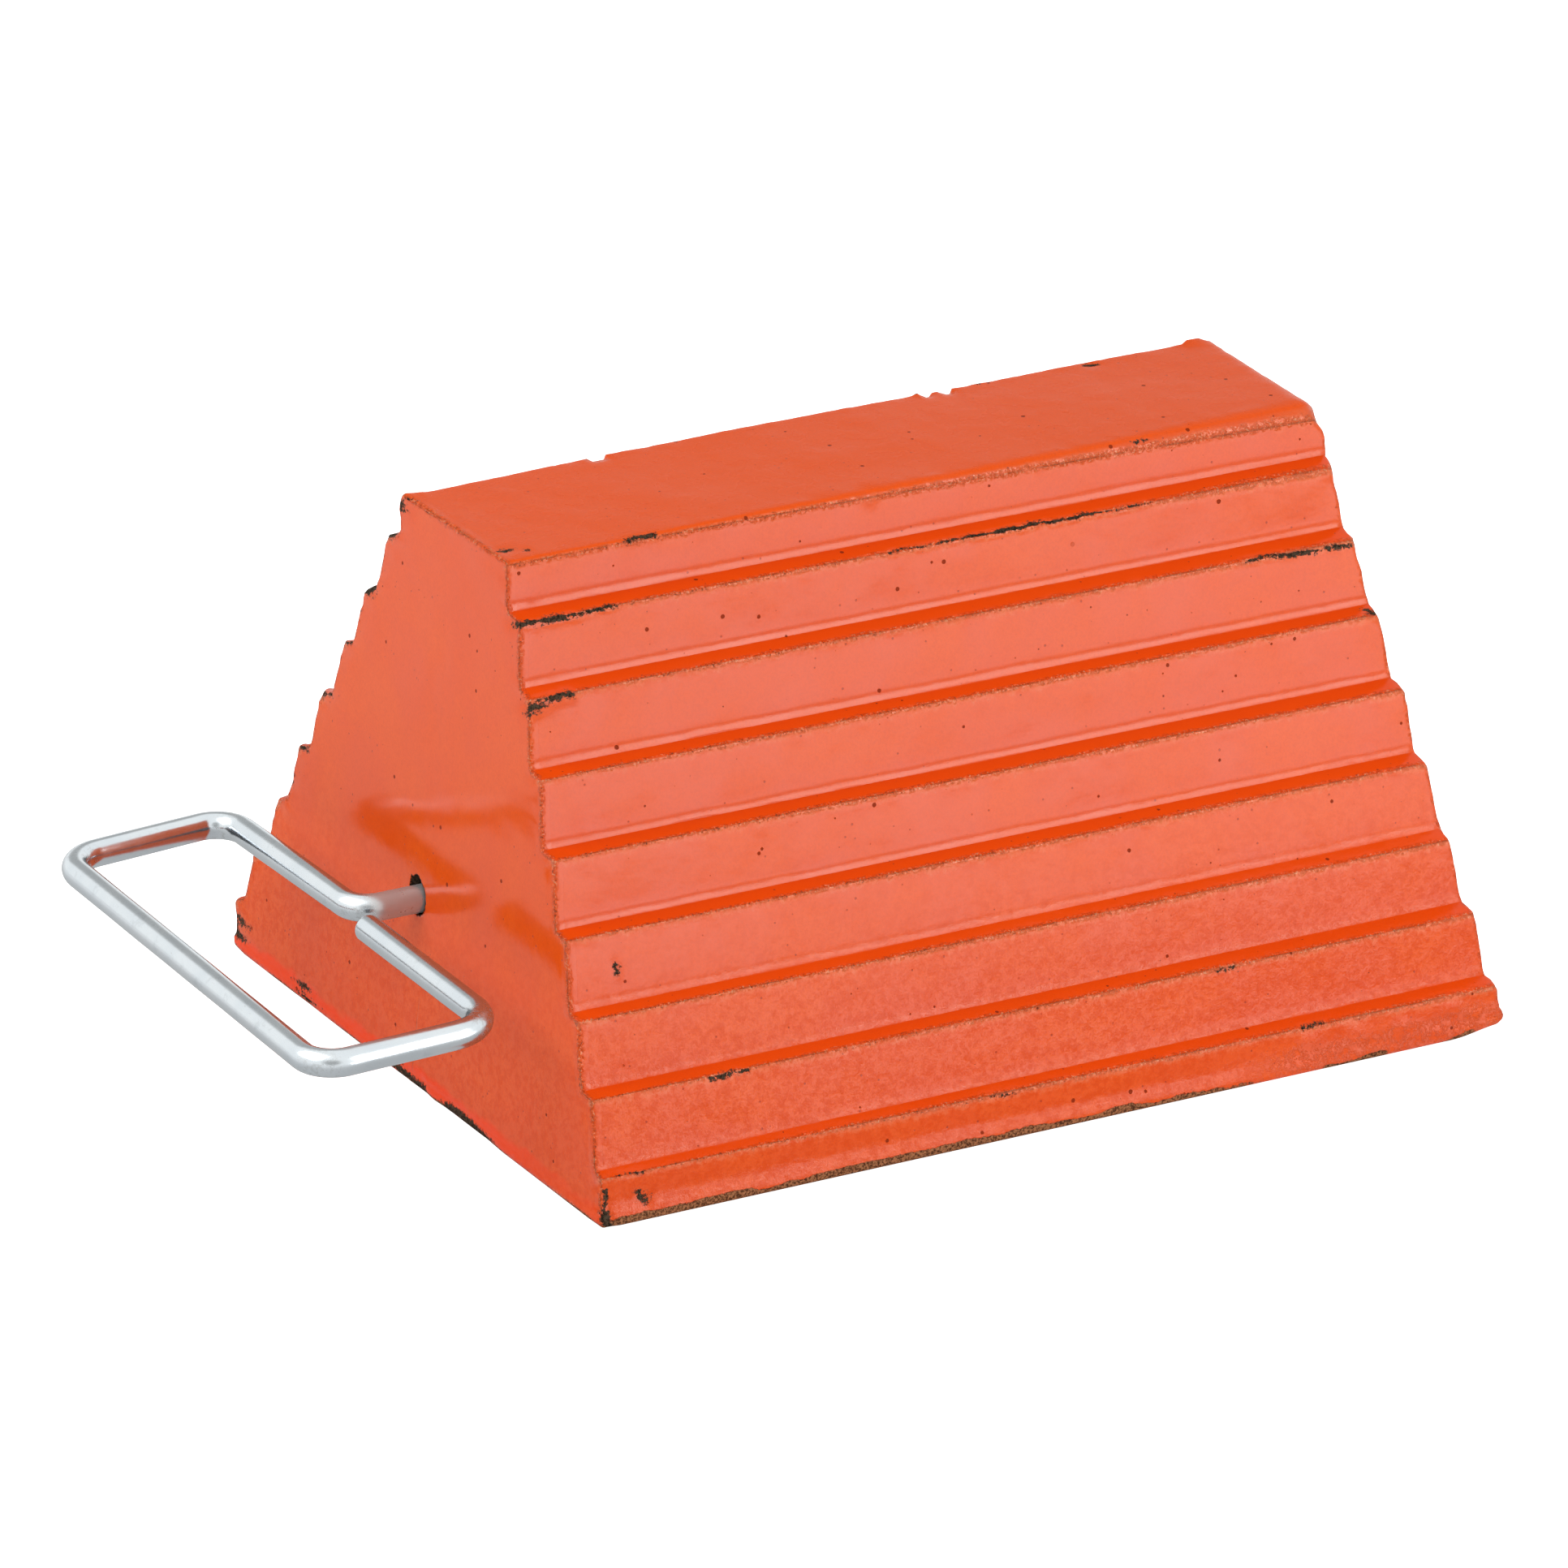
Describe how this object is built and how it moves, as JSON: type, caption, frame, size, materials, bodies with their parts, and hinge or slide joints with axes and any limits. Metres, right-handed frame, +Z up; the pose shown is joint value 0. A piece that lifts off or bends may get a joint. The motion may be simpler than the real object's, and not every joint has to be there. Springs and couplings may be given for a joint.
{
  "type": "wheel chock",
  "caption": "Solid rubber wheel chock with two serrated sloping tyre faces, a flat top and base, and a steel loop pull handle that turns and pushes in along its shank.",
  "frame": {"origin": "centre of the flat base, on the ground plane", "axes": "+Z up; +X along the length of the block, away from the handle; -Y and +Y are the two serrated tyre faces"},
  "size_m": [0.3211, 0.2014, 0.1444],
  "materials": {
    "painted_rubber": "semi-gloss orange paint over black rubber, worn at the edges",
    "zinc_rod": "bright zinc plate",
    "zinc_washer": "zinc plate, slightly dull",
    "zinc_nut": "zinc plate",
    "nylon": "natural nylon"
  },
  "bodies": {
    "block": {"chock_body": "painted_rubber"},
    "washer": {"fender_washer": "zinc_washer"},
    "handle": {"pull_handle": "zinc_rod", "lock_nut": "zinc_nut", "lock_nut_insert": "nylon"}
  },
  "joints": [
    {"name": "handle_push", "type": "slide", "parent": "block", "child": "washer", "axis": [1, 0, 0], "range_m": [0, 0.008]},
    {"name": "handle_swivel", "type": "hinge", "parent": "washer", "child": "handle", "pos_m": [-0.1223, 0.0035, 0.0473], "axis": [1, 0, 0], "range_deg": [-40, 32]}
  ]
}
